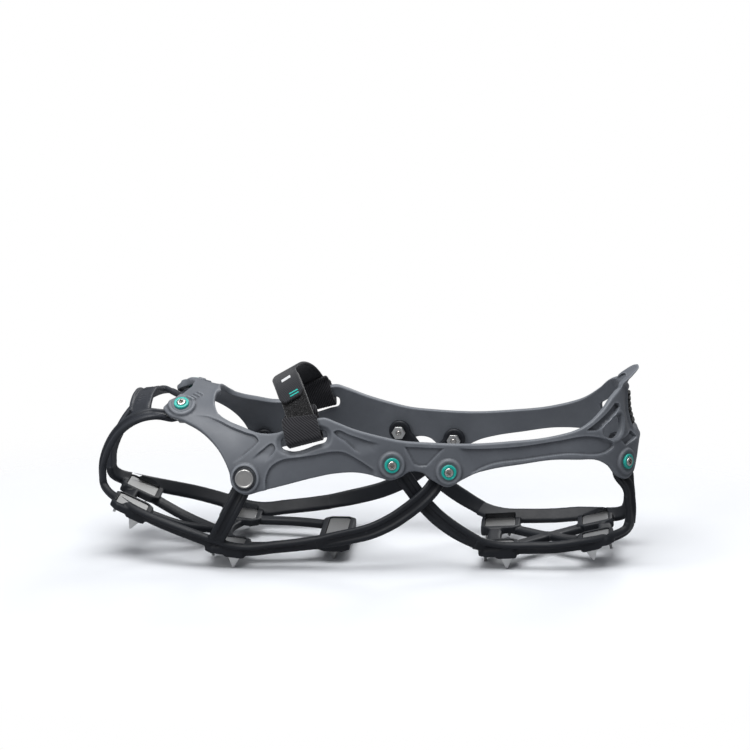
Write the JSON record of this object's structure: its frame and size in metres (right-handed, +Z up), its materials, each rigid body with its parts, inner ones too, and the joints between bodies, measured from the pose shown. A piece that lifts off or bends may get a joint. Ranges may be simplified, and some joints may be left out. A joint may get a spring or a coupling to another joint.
{
  "type": "microspikes",
  "caption": "Strap-on boot traction harness: moulded elastomer upper with a hook-and-loop instep strap, over hinged forefoot and heel webs that carry bent steel spike plates under the sole.",
  "frame": {"origin": "middle of the bounding box's foot, on the ground plane that the lowest spike tips touch", "axes": "+X from the toe to the heel, +Z up, +Y towards the wearer's side without the strap tab"},
  "size_m": [0.3148, 0.1136, 0.1156],
  "materials": {
    "harness_elastomer": "satin",
    "web_tpu": "satin",
    "toe_strap_tpu": "satin",
    "grip_rubber": "matte",
    "teal_nylon": "satin",
    "stainless": "brushed",
    "rivet_steel": "polished",
    "nut_steel": "satin",
    "webbing": "matte",
    "tab_fabric": "matte",
    "loop_fabric": "matte"
  },
  "bodies": {
    "harness_body": {"harness": "harness_elastomer", "heel_grip_pad": "grip_rubber", "toe_screw_left": "stainless", "toe_bushing_left": "teal_nylon", "toe_nut_left": "nut_steel", "toe_screw_right": "stainless", "toe_bushing_right": "teal_nylon", "toe_nut_right": "nut_steel", "mid_front_screw_left": "stainless", "mid_front_bushing_left": "teal_nylon", "mid_front_nut_left": "nut_steel", "mid_front_screw_right": "stainless", "mid_front_bushing_right": "teal_nylon", "mid_front_nut_right": "nut_steel", "mid_rear_screw_left": "stainless", "mid_rear_bushing_left": "teal_nylon", "mid_rear_nut_left": "nut_steel", "mid_rear_screw_right": "stainless", "mid_rear_bushing_right": "teal_nylon", "mid_rear_nut_right": "nut_steel", "heel_screw_left": "stainless", "heel_bushing_left": "teal_nylon", "heel_nut_left": "nut_steel", "heel_screw_right": "stainless", "heel_bushing_right": "teal_nylon", "heel_nut_right": "nut_steel", "ball_rivet_left": "rivet_steel", "ball_rivet_washer_left": "rivet_steel", "ball_rivet_right": "rivet_steel", "ball_rivet_washer_right": "rivet_steel", "toe_strap": "toe_strap_tpu", "forefoot_cross_strap_left": "web_tpu", "heel_cross_strap_left": "web_tpu", "heel_strap_left": "web_tpu", "forefoot_cross_strap_right": "web_tpu", "heel_cross_strap_right": "web_tpu", "heel_strap_right": "web_tpu"},
    "forefoot": {"forefoot_web": "web_tpu", "spike_plate_arch": "stainless", "spike_plate_toe_left": "stainless", "spike_plate_toe_right": "stainless", "spike_plate_ball_left": "stainless", "spike_plate_ball_right": "stainless"},
    "heel": {"heel_web": "web_tpu", "spike_plate_heel_front_left": "stainless", "spike_plate_heel_front_right": "stainless", "spike_plate_heel_back_left": "stainless", "spike_plate_heel_back_right": "stainless"},
    "strap_left": {"instep_webbing_left": "webbing", "loop_strip": "loop_fabric"},
    "strap_right": {"instep_webbing_right": "webbing", "instep_strap": "tab_fabric"},
    "tab": {"strap_tab": "tab_fabric"},
    "pull_tab": {"heel_pull_tab": "harness_elastomer"}
  },
  "joints": [
    {"name": "forefoot_flex", "type": "hinge", "parent": "harness_body", "child": "forefoot", "pos_m": [-0.06604, 0, 0.05491], "axis": [0, 1, 0], "range_deg": [-10, 10], "deforming": ["toe_strap", "forefoot_cross_strap_left", "forefoot_cross_strap_right"]},
    {"name": "heel_web_rock", "type": "hinge", "parent": "harness_body", "child": "heel", "pos_m": [0.10812, 0, 0.0207], "axis": [0, 1, 0], "range_deg": [-8, 8], "deforming": ["heel_cross_strap_left", "heel_cross_strap_right", "heel_strap_left", "heel_strap_right"]},
    {"name": "strap_left_fold", "type": "hinge", "parent": "harness_body", "child": "strap_left", "pos_m": [-0.03426, -0.04419, 0.08375], "axis": [-0.9638, -0.0182, -0.2661], "range_deg": [0, 35]},
    {"name": "strap_right_lift", "type": "hinge", "parent": "harness_body", "child": "strap_right", "pos_m": [-0.03426, 0.04419, 0.08375], "axis": [-0.9638, 0.0182, -0.2661], "range_deg": [0, 60]},
    {"name": "tab_peel", "type": "hinge", "parent": "strap_right", "child": "tab", "pos_m": [-0.04662, -0.01671, 0.10634], "axis": [-0.8422, -0.1161, -0.5266], "range_deg": [0, 100]},
    {"name": "pull_tab_flex", "type": "hinge", "parent": "harness_body", "child": "pull_tab", "pos_m": [0.14982, 0, 0.1056], "axis": [0, 1, 0], "range_deg": [0, 30]}
  ]
}
